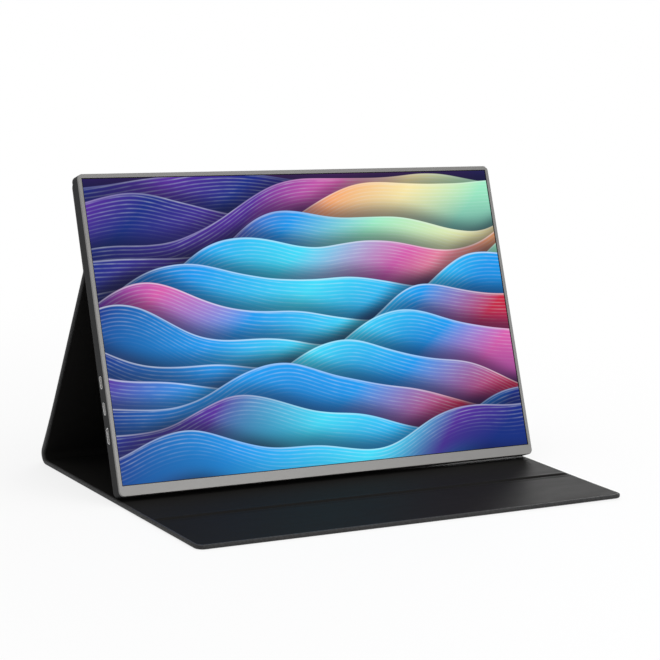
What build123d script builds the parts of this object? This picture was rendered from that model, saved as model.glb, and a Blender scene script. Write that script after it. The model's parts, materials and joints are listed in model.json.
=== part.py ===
from build123d import *
import os
from math import atan2, degrees, hypot, radians, sin, sqrt

# Slim portable monitor standing in its own folding magnetic cover.
# Millimetres, +Z up, X to the viewer's right, Y to the back, origin under the middle of the whole.
# The display is built lying face up: x across, y up the screen, z from its back to its front.
# Each cover panel is built lying flat with its lining up, then folded about the heel.

# Screen and case
screen_w = 344.6            # lit area of a 16 inch panel with sides 16 to 10
screen_h = 215.4
side_border = 3.5           # lit area to the outside of the case, left and right
top_border = 3.6
chin_h = 8.0                # the taller border below the lit area
case_t = 10.0
corner_r = 4.0
case_wall = 1.0
case_back = 0.8
back_edge_r = 1.0
frame_t = 0.8
frame_edge = 0.5            # bevel round the front of the frame
black_margin = 0.6          # unlit strip between the lit area and the frame
tab_length = 12.0
tab_t = 0.5
tab_depth = 2.0
tab_gap = 0.15              # frame's tabs to the wall they hold
tab_count = 6

# Panel layers, from the front to the back
film_recess = 0.4           # front of the screen below the front of the frame
tape_t = 0.1
glass_t = 0.5
module_side = 2.0           # module outside the lit area, left and right
module_top = 1.5
module_chin = 4.2
module_corner_r = 1.0
glass_inset = 0.2
driver_ledge = 2.8          # strip of the rear glass left bare for the driver films
layer_gap = 0.1
optical_film_t = 0.2
optical_film_count = 3
guide_t = 0.8
reflector_t = 0.2
back_plate_t = 0.3
backlight_wall = 1.2
led_channel = 2.6
led_count = 42
led_size = 3.0
led_t = 0.9
led_depth = 0.7
led_strip_t = 0.3

# Driver films and their board
driver_film_w = 24.0
driver_film_t = 0.12
driver_film_count = 5
driver_film_bend = 1.2      # how far the films swing clear of the module's lower edge
driver_board_side = 57.3    # lit area's side to the end of the board
driver_board_h = 8.0
driver_board_t = 0.6
driver_board_y = 5.0

# Main board and its ports
board_t = 0.6
board_post_h = 0.6
board_post_r = 2.0
main_board_w = 113.6
main_board_h = 66.0
main_board_y = 30.0
capacitor_row_x = 66.0      # row's middle from the board's left and lower edges
capacitor_row_y = 25.6
capacitor_row_l = 60.0
capacitor_l = 2.0
capacitor_w = 1.2
capacitor_t = 0.6
chip_pitch = 1.0            # step in which the chips' places and sizes are counted
board_edge_gap = 0.6        # board to the inside of the case wall
screw_inset = 6.0
screw_r = 0.8
screw_hole_r = 1.1
screw_head_r = 1.5
screw_head_t = 0.6
screw_slot_l = 2.2
screw_slot_w = 0.4
screw_bite = 0.4            # thread below the top of the case back
screw_fit = 0.05
port_recess = 0.1
port_shell_t = 0.3
port_height = 3.2
port_slot_gap = 0.15
port_length = 7.4
port_tongue_t = 0.7
port_tongue_set = 1.2       # blade's tip behind the mouth
port_tongue_side = 1.35     # blade's edge to the outside of the shell
port_back_t = 1.2
data_port_w = 8.94
data_upper_y = 80.6          # heights of the ports above the lower edge of the case
data_lower_y = 62.2
video_y = 43.2
video_port_w = 11.2
video_slope = 1.1           # lower corners of the port, cut off at this size
video_opening_r = 0.4
audio_y = 46.0
audio_bore_r = 1.8
audio_bore_l = 11.0
audio_body_l = 12.4
audio_body_w = 6.0
audio_wall = 0.25
audio_case_gap = 0.15

# Keys on the right side
key_board_w = 16.0
key_board_y = 34.0
key_board_h = 82.0
key_height = 2.6
key_proud = 0.4
key_clear = 0.15
key_flange = 0.4            # retaining lip past the key, each way
key_flange_t = 0.6
key_flange_gap = 0.5
power_y = 104.0
power_length = 10.0
rocker_y = 80.0
rocker_length = 18.0
rocker_pin_r = 0.4
rocker_pin_gap = 0.05
rocker_hub_r = 0.9
switch_w = 4.4
switch_l = 2.8
switch_h = 2.4
switch_button_r = 0.7
switch_button_l = 0.5
switch_gap = 0.35           # key to switch at rest
switch_spread = 6.0         # rocker's middle to each of its switches

# Speakers, leads and magnets
speaker_side = 25.3         # side of the case to a speaker's middle
speaker_l = 42.0
speaker_h = 19.0
speaker_t = 3.6
speaker_y = 1.6
speaker_corner = 2.0
speaker_slot_l = 20.0
speaker_slot_h = 2.0
cone_l = 32.0
cone_w = 11.0
cone_depth = 0.8
dome_l = 22.0
dome_w = 6.6
dome_h = 0.5
lead_r = 0.45
lead_bend_r = 2.0
lead_jog = 10.0             # sideways step of the left lead
ribbon_w = 12.0
ribbon_t = 0.15
socket_l = 16.0
socket_w = 3.4
socket_h = 1.1
magnet_l = 24.0
magnet_w = 7.0
magnet_t = 1.6
magnet_side = 25.0          # side of the cover to the middle of the nearest magnet
magnet_count = 6

# Cover
cover_side_gap = 0.8        # side of the case to the side of the cover
skin_t = 0.8
stiffener_t = 1.7
lining_t = 0.7
rim_w = 1.8                 # skin turned over the edge, seen beside the lining
cover_corner_r = 6.0
insert_gap = 0.15
crease_gap = 3.0            # crease's axis to the end of a stiffened panel
crease_bead_r = 0.7
web_t = 0.9                 # skin and lining pressed together where no stiffener lies between them
heel_web_l = 6.5
heel_gap = 0.3
leg_web_start = 1.35         # heel's axis to where the leg's skin leaves the spine
spine_start = 28.0          # degrees past straight down, towards the base, at which the spine starts
spine_end = 18.0            # degrees above level at which the spine ends
upper_inset = 1.5           # cover's top edge below the top of the case
crease_up = 159.5           # lower edge of the case to the crease, up its back
base_l = 176.0              # heel to the front crease
flap_l = 63.1
flap_magnet_r = 5.0
flap_magnet_side = 35.0     # side of the cover to the middle of the nearest magnet

# Stand
display_lean = 21.4         # from upright, as photographed
leg_gap = 0.3               # leg to the back of the case when folded shut
foot_gap = 0.25             # heel's axis and the case's lower edge above the base

# Sizes that follow
case_w = screen_w + 2 * side_border
case_h = screen_h + top_border + chin_h
inner_x = case_w / 2 - case_wall
cover_w = case_w - 2 * cover_side_gap
cover_t = skin_t + stiffener_t + lining_t
magnet_spacing = (cover_w - 2 * magnet_side) / (magnet_count - 1)
flap_magnet_x = cover_w / 2 - flap_magnet_side
speaker_x = case_w / 2 - speaker_side
driver_board_l = screen_w - 2 * driver_board_side
frame_back = case_t - frame_t
front_film_t = frame_t + tape_t - film_recess
front_glass_top = frame_back - tape_t
rear_glass_top = front_glass_top - glass_t
stack_top = rear_glass_top - glass_t - layer_gap
guide_top = stack_top - optical_film_count * optical_film_t
reflector_top = guide_top - guide_t
plate_top = reflector_top - reflector_t
plate_bottom = plate_top - back_plate_t
module_x = screen_w / 2 + module_side
module_low = chin_h - module_chin
module_high = chin_h + screen_h + module_top
driver_board_top = plate_bottom - layer_gap - 2 * driver_film_t
driver_board_under = driver_board_top - driver_board_t
board_low = case_back + board_post_h
board_high = board_low + board_t
port_z = board_high + layer_gap + port_height / 2
audio_z = case_back + audio_case_gap + audio_wall + audio_bore_r

crease_depth = cover_t / 2                       # crease's axis behind the back of the case
stand_r = hypot(crease_up, crease_depth)         # crease to foot, and crease to heel
foot_skew = degrees(atan2(crease_depth, crease_up))
leg_depth = crease_depth - leg_gap
leg_l = sqrt(stand_r**2 - leg_depth**2)
leg_skew = degrees(atan2(leg_depth, leg_l))
half_apex = display_lean + foot_skew
leg_lean = half_apex + leg_skew
foot_to_heel = 2 * stand_r * sin(radians(half_apex))
axis_z = cover_t + foot_gap
heel_r = axis_z - layer_gap
heel_y = (base_l + flap_l - heel_r) / 2
foot_y = heel_y - foot_to_heel


def cuboid(x0, x1, y0, y1, z0, z1):
    return Pos((x0 + x1) / 2, (y0 + y1) / 2, (z0 + z1) / 2) * Box(x1 - x0, y1 - y0, z1 - z0)


def rounded_slab(width, y0, y1, radius, z0, z1):
    outline = RectangleRounded(width, y1 - y0, radius)
    return Pos(0, (y0 + y1) / 2, z0) * extrude(outline, z1 - z0)


def rod(radius, x, y, z0, z1):
    return Pos(x, y, (z0 + z1) / 2) * Cylinder(radius, z1 - z0)


def cross_rod(radius, x0, x1, y, z):
    return Pos((x0 + x1) / 2, y, z) * Rot(0, 90, 0) * Cylinder(radius, x1 - x0)


def side_plane(x, y, z):
    return Plane(origin=(x, y, z), x_dir=(0, 1, 0), z_dir=(1, 0, 0))


def side_slot(x0, x1, y, z, length, height, radius=None):
    """A bar along x, with round ends unless a corner radius is given."""
    outline = SlotOverall(length, height) if radius is None else RectangleRounded(length, height, radius)
    return extrude(side_plane(x0, y, z) * outline, x1 - x0)


def side_prism(x0, x1, points):
    outline = make_face(side_plane(x0, 0, 0) * Polyline(*points, close=True))
    return extrude(outline, x1 - x0, dir=(1, 0, 0))


def spread(count, span):
    """Places of count things set evenly over a span about zero."""
    return [span * ((i + 0.5) / count - 0.5) for i in range(count)]


# Case

def port_openings():
    """Height up the case, width and corner radius, if not round ended, of each port's opening."""
    return [
        (data_upper_y, data_port_w, None),
        (data_lower_y, data_port_w, None),
        (video_y, video_port_w, video_opening_r),
    ]


def board_screws():
    left = -inner_x + board_edge_gap
    right = left + main_board_w
    low, high = main_board_y + screw_inset, main_board_y + main_board_h - screw_inset
    key_x = inner_x - board_edge_gap - key_board_w + screw_inset / 2
    key_low, key_high = key_board_y + screw_inset / 2, key_board_y + key_board_h - screw_inset / 2
    corners = [(x, y) for x in (left + port_length + screw_inset, right - screw_inset) for y in (low, high)]
    return corners + [(key_x, key_low), (key_x, key_high)]


def magnet_places():
    x_span = magnet_count * magnet_spacing
    y = (crease_up + case_h - upper_inset) / 2
    return [(x, y) for x in spread(magnet_count, x_span)]


def rocker_pivot_x():
    return inner_x - key_flange_gap - key_flange_t


def make_rear_cover():
    cover = rounded_slab(case_w, 0, case_h, corner_r, 0, frame_back)
    back_edges = cover.faces().sort_by(Axis.Z)[0].edges()
    cover = fillet(back_edges, back_edge_r)
    inner_r = corner_r - case_wall
    cover -= rounded_slab(2 * inner_x, case_wall, case_h - case_wall, inner_r, case_back, case_t)
    for x, y in board_screws():
        cover += rod(board_post_r, x, y, case_back - layer_gap, board_low)
    for x, y in board_screws():
        cover -= rod(screw_r + screw_fit, x, y, case_back - screw_bite - screw_fit, case_t)
    wall_in, wall_out = inner_x - case_wall, case_w / 2 + case_wall
    for y, width, corner in port_openings():
        opening = width + 2 * port_slot_gap
        height = port_height + 2 * port_slot_gap
        cover -= side_slot(-wall_out, -wall_in, y, port_z, opening, height, corner)
    for y, length in ((power_y, power_length), (rocker_y, rocker_length)):
        opening = length + 2 * key_clear
        height = key_height + 2 * key_clear
        cover -= side_slot(wall_in, wall_out, y, port_z, opening, height)
    cover -= cross_rod(audio_bore_r + audio_case_gap, wall_in, wall_out, audio_y, audio_z)
    for x in (-speaker_x, speaker_x):
        slot = Plane(origin=(x, -case_wall, port_z), x_dir=(1, 0, 0), z_dir=(0, 1, 0))
        cover -= extrude(slot * SlotOverall(speaker_slot_l, speaker_slot_h), 3 * case_wall)
    return cover


def make_front_frame():
    frame = rounded_slab(case_w, 0, case_h, corner_r, frame_back, case_t)
    frame = chamfer(frame.faces().sort_by(Axis.Z)[-1].edges(), frame_edge)
    frame -= viewing_area(0, 0, 2 * case_t)
    for x in spread(tab_count, case_w - 2 * corner_r):
        left, right = x - tab_length / 2, x + tab_length / 2
        for wall, way in ((case_wall, 1), (case_h - case_wall, -1)):
            near, far = sorted((wall + way * tab_gap, wall + way * (tab_gap + tab_t)))
            frame += cuboid(left, right, near, far, frame_back - tab_depth, frame_back)
    return frame


# Panel

def viewing_area(gap, z0, z1):
    """The lit area and its black margin, which the frame leaves open, less a gap all round."""
    margin = black_margin - gap
    half = screen_w / 2 + margin
    return cuboid(-half, half, chin_h - margin, chin_h + screen_h + margin, z0, z1)


def make_front_film():
    return viewing_area(insert_gap, front_glass_top, front_glass_top + front_film_t)


def make_panel_tape():
    half = module_x - 2 * glass_inset
    low = module_low + 2 * glass_inset + driver_ledge
    ring = cuboid(-half, half, low, module_high - 2 * glass_inset, front_glass_top, frame_back)
    return ring - viewing_area(0, 0, case_t)


def make_glass(low, top):
    half = module_x - glass_inset
    return cuboid(-half, half, low, module_high - glass_inset, top - glass_t, top)


def make_front_glass():
    return make_glass(module_low + glass_inset + driver_ledge, front_glass_top)


def make_rear_glass():
    return make_glass(module_low + glass_inset, rear_glass_top)


def stack_half():
    return module_x - backlight_wall - insert_gap


def make_optical_films():
    high = module_high - backlight_wall - insert_gap
    low = module_low + led_channel
    films = []
    for i in range(optical_film_count):
        under = guide_top + i * optical_film_t
        films.append(cuboid(-stack_half(), stack_half(), low, high, under, under + optical_film_t))
    return Compound(films)


def make_light_guide():
    high = module_high - backlight_wall - insert_gap
    low = module_low + backlight_wall + led_strip_t + led_depth + 2 * insert_gap
    return cuboid(-stack_half(), stack_half(), low, high, reflector_top, guide_top)


def make_reflector():
    high = module_high - backlight_wall - insert_gap
    low = module_low + backlight_wall + insert_gap
    return cuboid(-stack_half(), stack_half(), low, high, plate_top, reflector_top)


def make_backlight_frame():
    top = stack_top + layer_gap
    ring = rounded_slab(2 * module_x, module_low, module_high, module_corner_r, plate_top, top)
    half = module_x - backlight_wall
    return ring - cuboid(-half, half, module_low + backlight_wall, module_high - backlight_wall, 0, case_t)


def make_back_plate():
    width = 2 * module_x
    return rounded_slab(width, module_low, module_high, module_corner_r, plate_bottom, plate_top)


def make_led_bar():
    low = module_low + backlight_wall + insert_gap
    strip_top = low + led_strip_t
    high = reflector_top + led_t
    bar = cuboid(-stack_half(), stack_half(), low, strip_top, reflector_top, high)
    for x in spread(led_count, 2 * stack_half()):
        left, right = x - led_size / 2, x + led_size / 2
        bar += cuboid(left, right, strip_top, strip_top + led_depth, reflector_top, high)
    return bar


def make_driver_board():
    half = driver_board_l / 2
    high = driver_board_y + driver_board_h
    return cuboid(-half, half, driver_board_y, high, driver_board_under, driver_board_top)


def make_driver_films():
    """Films from the rear glass's ledge round the lower edge to the driver board."""
    t = driver_film_t
    start, turn = module_low + glass_inset + driver_ledge / 2, module_low - driver_film_bend
    front = rear_glass_top
    back = driver_board_top
    end = driver_board_y + driver_board_h / 3
    points = [(start, front), (start, front + t), (turn - t, front + t), (turn - t, back),
              (end, back), (end, back + t), (turn, back + t), (turn, front)]
    places = spread(driver_film_count, driver_board_l)
    films = [side_prism(x - driver_film_w / 2, x + driver_film_w / 2, points) for x in places]
    return Compound(films)


# Boards

def make_main_board():
    left = -inner_x + board_edge_gap
    high = main_board_y + main_board_h
    board = cuboid(left, left + main_board_w, main_board_y, high, board_low, board_high)
    for x, y in board_screws()[:4]:
        board -= rod(screw_hole_r, x, y, 0, case_t)
    return board


def make_board_chips():
    """Chips, coils, capacitors and sockets standing on the front of the main board."""
    left = -inner_x + board_edge_gap
    # Each row, in grid steps: middle from the board's left and lower edges, size across and up, height.
    chips = [
        (52, 34, 14, 14, 1.0), (74, 34, 9, 9, 0.9), (74, 48, 9, 6, 0.9), (32, 52, 5, 5, 0.8),
        (32, 34, 5, 5, 0.8), (52, 54, 6, 5, 0.8), (90, 52, 6, 6, 2.2), (98, 44, 6, 6, 2.2),
        (90, 36, 4, 4, 1.6), (46, 16, 4, 7, 1.4), (62, 16, 5, 5, 1.2), (100, 20, 5, 8, 1.5),
    ]
    chips = [[size * chip_pitch for size in chip] for chip in chips]
    size = (capacitor_l, capacitor_w, capacitor_t)
    chips += [(x + capacitor_row_x, capacitor_row_y, *size) for x in spread(10, capacitor_row_l)]
    solids = []
    for x, y, w, h, t in chips:
        place = Pos(left + x, main_board_y + y, board_high + t / 2)
        solids.append(place * Box(w, h, t))
    return Compound(solids)


def ribbon_x():
    return -inner_x + board_edge_gap + main_board_w - socket_l


def make_ribbon_sockets():
    x = ribbon_x()
    socket = Box(socket_l, socket_w, socket_h)
    on_main = Pos(x, main_board_y + socket_w, board_high + socket_h / 2)
    on_driver = Pos(x, driver_board_y + driver_board_h / 2, driver_board_under - socket_h / 2)
    return Compound([on_main * socket, on_driver * socket])


def make_panel_ribbon():
    """Flat cable from the main board down to the driver board."""
    x = ribbon_x()
    start = main_board_y + socket_w / 2
    high = board_high + socket_h / 2
    low = driver_board_under - socket_h / 2
    end = driver_board_y + driver_board_h / 2 + socket_w / 2
    near, far = start - (start - end) / 3, end + (start - end) / 3
    under = [(start, high), (near, high), (far, low), (end, low)]
    over = [(y, z + ribbon_t) for y, z in reversed(under)]
    return side_prism(x - ribbon_w / 2, x + ribbon_w / 2, under + over)


def port_tongue(y, width):
    """Contact blade in the middle of a port, rooted in its back wall."""
    mouth = -case_w / 2 + port_recess
    half = width / 2 - port_tongue_side
    low, high = port_z - port_tongue_t / 2, port_z + port_tongue_t / 2
    return cuboid(mouth + port_tongue_set, mouth + port_length - port_back_t, y - half, y + half, low, high)


def make_data_port(y):
    mouth = -case_w / 2 + port_recess
    end = mouth + port_length
    shell = side_slot(mouth, end, y, port_z, data_port_w, port_height)
    inside_w, inside_h = data_port_w - 2 * port_shell_t, port_height - 2 * port_shell_t
    shell -= side_slot(mouth - 1, end - port_back_t, y, port_z, inside_w, inside_h)
    return shell + port_tongue(y, data_port_w)


def make_video_port():
    mouth = -case_w / 2 + port_recess
    end = mouth + port_length

    def outline(inset):
        half, up = video_port_w / 2 - inset, port_height / 2 - inset
        foot = half - video_slope
        return [(video_y - half, port_z + up), (video_y + half, port_z + up), (video_y + half, port_z),
                (video_y + foot, port_z - up), (video_y - foot, port_z - up), (video_y - half, port_z)]

    shell = side_prism(mouth, end, outline(0))
    shell -= side_prism(mouth - 1, end - port_back_t, outline(port_shell_t))
    return shell + port_tongue(video_y, video_port_w)


def make_audio_jack():
    mouth = case_w / 2 - port_recess - case_wall
    body_h = 2 * (audio_bore_r + audio_wall)
    body = Pos(mouth - audio_body_l / 2, audio_y, audio_z) * Box(audio_body_l, audio_body_w, body_h)
    return body - cross_rod(audio_bore_r, mouth - audio_bore_l, mouth + 1, audio_y, audio_z)


def key_board_edge():
    return inner_x - board_edge_gap


def make_key_board():
    edge = key_board_edge()
    high = key_board_y + key_board_h
    board = cuboid(edge - key_board_w, edge, key_board_y, high, board_low, board_high)
    for x, y in board_screws()[4:]:
        board -= rod(screw_hole_r, x, y, 0, case_t)
    notch = audio_body_w / 2 + insert_gap
    jack_end = case_w / 2 - port_recess - case_wall - audio_body_l
    board -= cuboid(jack_end - insert_gap, case_w, audio_y - notch, audio_y + notch, 0, case_t)
    board -= rod(rocker_hub_r + switch_gap, rocker_pivot_x(), rocker_y, 0, case_t)
    return board


def key_back_x():
    return inner_x - key_flange_gap - key_flange_t


def make_key_switches():
    tip = key_back_x() - switch_gap
    places = (power_y, rocker_y - switch_spread, rocker_y + switch_spread)
    switches = []
    for y in places:
        face = tip - switch_button_l
        z = board_high + switch_h / 2
        body = Pos(face - switch_l / 2, y, z) * Box(switch_l, switch_w, switch_h)
        switches.append(body + cross_rod(switch_button_r, face - layer_gap, tip, y, z))
    return Compound(switches)


def make_key(y, length):
    outside = case_w / 2 + key_proud
    lip_x = inner_x - key_flange_gap
    lip_l, lip_h = length + 2 * key_flange, key_height + key_flange / 2
    key = side_slot(lip_x - layer_gap, outside, y, port_z, length, key_height)
    return key + side_slot(key_back_x(), lip_x, y, port_z, lip_l, lip_h)


def make_power_button():
    return make_key(power_y, power_length)


def make_menu_rocker():
    rocker = make_key(rocker_y, rocker_length)
    low, high = port_z - key_height / 2, port_z + key_height / 2
    rocker += rod(rocker_hub_r, rocker_pivot_x(), rocker_y, low, high)
    return rocker - rod(rocker_pin_r + rocker_pin_gap, rocker_pivot_x(), rocker_y, 0, case_t)


def make_rocker_pin():
    return rod(rocker_pin_r, rocker_pivot_x(), rocker_y, case_back, port_z + key_height / 2)


def make_key_ribbon():
    start = -inner_x + board_edge_gap + main_board_w
    end = key_board_edge() - key_board_w
    y = main_board_y + main_board_h - 2 * screw_inset
    return cuboid(start - socket_w, end + socket_w, y - ribbon_w / 4, y + ribbon_w / 4,
                  board_high, board_high + ribbon_t)


def make_board_screws():
    screws = []
    for x, y in board_screws():
        shaft = rod(screw_r, x, y, case_back - screw_bite, board_high)
        head = rod(screw_head_r, x, y, board_high, board_high + screw_head_t)
        slot = Pos(x, y, board_high + screw_head_t) * Box(screw_slot_l, screw_slot_w, screw_head_t)
        screws.append(shaft + head - slot)
    return Compound(screws)


# Speakers and magnets

def make_speaker(x):
    low = case_back + layer_gap
    middle = speaker_y + speaker_h / 2
    body = Pos(x, middle, low) * extrude(RectangleRounded(speaker_l, speaker_h, speaker_corner), speaker_t)
    cone_floor = Pos(x, middle, low + speaker_t - cone_depth)
    body -= cone_floor * extrude(SlotOverall(cone_l, cone_w), case_t)
    return body + cone_floor * extrude(SlotOverall(dome_l, dome_w), dome_h)


def make_speaker_leads():
    """A lead from the main board to each speaker, held along the case back."""
    z = case_back + layer_gap + lead_r
    exit_y = main_board_y
    top = speaker_y + speaker_h
    left_x = -speaker_x - lead_jog / 2
    right_x = speaker_x - lead_jog / 2
    start_x = -inner_x + board_edge_gap + main_board_w - screw_inset
    channel_y = (exit_y + top) / 2
    left = FilletPolyline((left_x + lead_jog, exit_y, z), (left_x + lead_jog, channel_y, z),
                          (left_x, channel_y, z), (left_x, top, z), radius=lead_bend_r)
    right = FilletPolyline((start_x, exit_y, z), (start_x, channel_y, z), (right_x, channel_y, z),
                           (right_x, top, z), radius=lead_bend_r)
    leads = []
    for path in (left, right):
        start = Plane(origin=path @ 0, z_dir=path % 0)
        leads.append(sweep(start * Circle(lead_r), path=path))
    return Compound(leads)


def make_case_magnets():
    bar = Box(magnet_l, magnet_w, magnet_t)
    return Compound([Pos(x, y, case_back + magnet_t / 2) * bar for x, y in magnet_places()])


# Cover panels, lying flat with the lining's face at z = 0

def panel_outline(y0, y1, free_low, free_high, inset, z0, z1):
    """A panel whose free end, if it has one, has rounded corners."""
    half = cover_w / 2 - inset
    slab = cuboid(-half, half, y0 + inset, y1 - inset, z0, z1)
    radius = cover_corner_r - inset
    ends = [y for y, free in ((y0 + inset, free_low), (y1 - inset, free_high)) if free]
    corners = [e for e in slab.edges().filter_by(Axis.Z) if any(abs(e.center().Y - y) < 0.01 for y in ends)]
    return fillet(corners, radius) if corners else slab


def make_skin(y0, y1, free_low=False, free_high=False):
    """Outer skin with its edges turned up round the stiffener."""
    skin = panel_outline(y0, y1, free_low, free_high, 0, -cover_t, 0)
    return skin - panel_outline(y0, y1, free_low, free_high, rim_w, -cover_t + skin_t, 1)


def make_stiffener(y0, y1, free_low=False, free_high=False):
    return panel_outline(y0, y1, free_low, free_high, rim_w + insert_gap, -cover_t + skin_t, -lining_t)


def make_lining(y0, y1, free_low=False, free_high=False):
    return panel_outline(y0, y1, free_low, free_high, rim_w + insert_gap / 2, -lining_t, 0)


def web(y0, y1, z):
    half = cover_w / 2 - rim_w
    return cuboid(-half, half, y0, y1, z - web_t / 2, z + web_t / 2)


def bead(y, z):
    half = cover_w / 2 - rim_w
    return cross_rod(crease_bead_r, -half, half, y, z)


def leg_span():
    return heel_web_l, leg_l - crease_gap


def base_span():
    return -base_l + crease_gap, -heel_web_l


def flap_span():
    return -base_l - flap_l, -base_l - crease_gap


def upper_span():
    return crease_up + crease_gap, case_h - upper_inset


def make_leg_skin():
    y0, y1 = leg_span()
    skin = make_skin(y0, y1)
    skin += web(y1 - layer_gap, leg_l, -leg_depth) + bead(leg_l, -leg_depth)
    return skin + web(leg_web_start, y0 + layer_gap, -cover_t + web_t / 2)


def make_upper_skin():
    y0, y1 = upper_span()
    skin = make_skin(y0, y1, free_high=True)
    reach = crease_bead_r + heel_gap
    tongue = web(crease_up + reach / 2, y0 + layer_gap, -crease_depth)
    tongue -= cross_rod(reach, -cover_w, cover_w, crease_up, -crease_depth)
    return skin + tongue


def make_base_skin():
    y0, y1 = base_span()
    mid = -cover_t / 2
    skin = make_skin(y0, y1)
    skin += web(-base_l, y0 + layer_gap, mid) + bead(-base_l, mid)
    heel_web = web(y1 - layer_gap, 0, -cover_t + web_t / 2)
    return skin + (heel_web - cross_rod(heel_r + heel_gap, -cover_w, cover_w, 0, foot_gap))


def make_flap_skin():
    y0, y1 = flap_span()
    mid = -cover_t / 2
    skin = make_skin(y0, y1, free_low=True)
    reach = crease_bead_r + heel_gap
    tongue = web(y1 - layer_gap, -base_l - reach / 2, mid)
    return skin + (tongue - cross_rod(reach, -cover_w, cover_w, -base_l, mid))


def make_heel_spine():
    """Skin rolled round the heel's axis, from under the base to the back of the leg."""
    half = cover_w / 2 - rim_w
    roll = cross_rod(heel_r, -half, half, 0, 0) - cross_rod(heel_r - skin_t, -cover_w, cover_w, 0, 0)
    far = 4 * heel_r
    half_space = cuboid(-cover_w, cover_w, -far, far, 0, far)
    return roll - Rot(spine_end, 0, 0) * half_space - Rot(90 - spine_start, 0, 0) * half_space


def make_upper_stiffener():
    y0, y1 = upper_span()
    board = make_stiffener(y0, y1, free_high=True)
    for x, y in magnet_places():
        board -= Pos(x, y, 0) * Box(magnet_l, magnet_w, 2 * cover_t)
    return board


def make_cover_magnets():
    bar = Box(magnet_l - 2 * insert_gap, magnet_w - 2 * insert_gap, stiffener_t)
    return Compound([Pos(x, y, -lining_t - stiffener_t / 2) * bar for x, y in magnet_places()])


def flap_magnet_places():
    y0, y1 = flap_span()
    return [(x, (y0 + y1) / 2) for x in (-flap_magnet_x, 0, flap_magnet_x)]


def make_flap_stiffener():
    y0, y1 = flap_span()
    board = make_stiffener(y0, y1, free_low=True)
    for x, y in flap_magnet_places():
        board -= rod(flap_magnet_r, x, y, -cover_t, 0)
    return board


def make_flap_magnets():
    radius = flap_magnet_r - insert_gap
    return Compound([rod(radius, x, y, -cover_t + skin_t, -lining_t) for x, y in flap_magnet_places()])


# Where each group stands
on_display = Pos(0, foot_y, axis_z) * Rot(90 - display_lean, 0, 0)
on_leg = Pos(0, heel_y, axis_z) * Rot(90 + leg_lean, 0, 0)
on_base = Pos(0, heel_y, cover_t)
at_heel = Pos(0, heel_y, axis_z)


def display_pieces():
    return {
        "rear_cover": make_rear_cover(),
        "front_frame": make_front_frame(),
        "screen_film": make_front_film(),
        "panel_tape": make_panel_tape(),
        "front_glass": make_front_glass(),
        "rear_glass": make_rear_glass(),
        "optical_films": make_optical_films(),
        "light_guide": make_light_guide(),
        "reflector_sheet": make_reflector(),
        "backlight_frame": make_backlight_frame(),
        "panel_back_plate": make_back_plate(),
        "led_bar": make_led_bar(),
        "driver_board": make_driver_board(),
        "driver_films": make_driver_films(),
        "main_board": make_main_board(),
        "board_chips": make_board_chips(),
        "ribbon_sockets": make_ribbon_sockets(),
        "panel_ribbon": make_panel_ribbon(),
        "data_port_upper": make_data_port(data_upper_y),
        "data_port_lower": make_data_port(data_lower_y),
        "mini_video_port": make_video_port(),
        "audio_jack": make_audio_jack(),
        "key_board": make_key_board(),
        "key_switches": make_key_switches(),
        "key_ribbon": make_key_ribbon(),
        "power_button": make_power_button(),
        "menu_rocker": make_menu_rocker(),
        "rocker_pin": make_rocker_pin(),
        "board_screws": make_board_screws(),
        "speaker_left": make_speaker(-speaker_x),
        "speaker_right": make_speaker(speaker_x),
        "speaker_leads": make_speaker_leads(),
        "case_magnets": make_case_magnets(),
        "upper_skin": make_upper_skin(),
        "upper_stiffener": make_upper_stiffener(),
        "upper_lining": make_lining(*upper_span(), free_high=True),
        "cover_magnets": make_cover_magnets(),
    }


def leg_pieces():
    return {
        "leg_skin": make_leg_skin(),
        "leg_stiffener": make_stiffener(*leg_span()),
        "leg_lining": make_lining(*leg_span()),
    }


def base_pieces():
    return {
        "base_skin": make_base_skin(),
        "base_stiffener": make_stiffener(*base_span()),
        "base_lining": make_lining(*base_span()),
        "flap_skin": make_flap_skin(),
        "flap_stiffener": make_flap_stiffener(),
        "flap_lining": make_lining(*flap_span(), free_low=True),
        "flap_magnets": make_flap_magnets(),
    }


def main():
    os.makedirs("parts", exist_ok=True)
    groups = [
        (on_display, display_pieces()),
        (on_leg, leg_pieces()),
        (on_base, base_pieces()),
        (at_heel, {"heel_spine": make_heel_spine()}),
    ]
    for place, pieces in groups:
        for name, piece in pieces.items():
            export_step(place * piece, f"parts/{name}.step")


main()
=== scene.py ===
import json
import math

import bmesh
import bpy
from mathutils import Matrix, Vector


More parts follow.
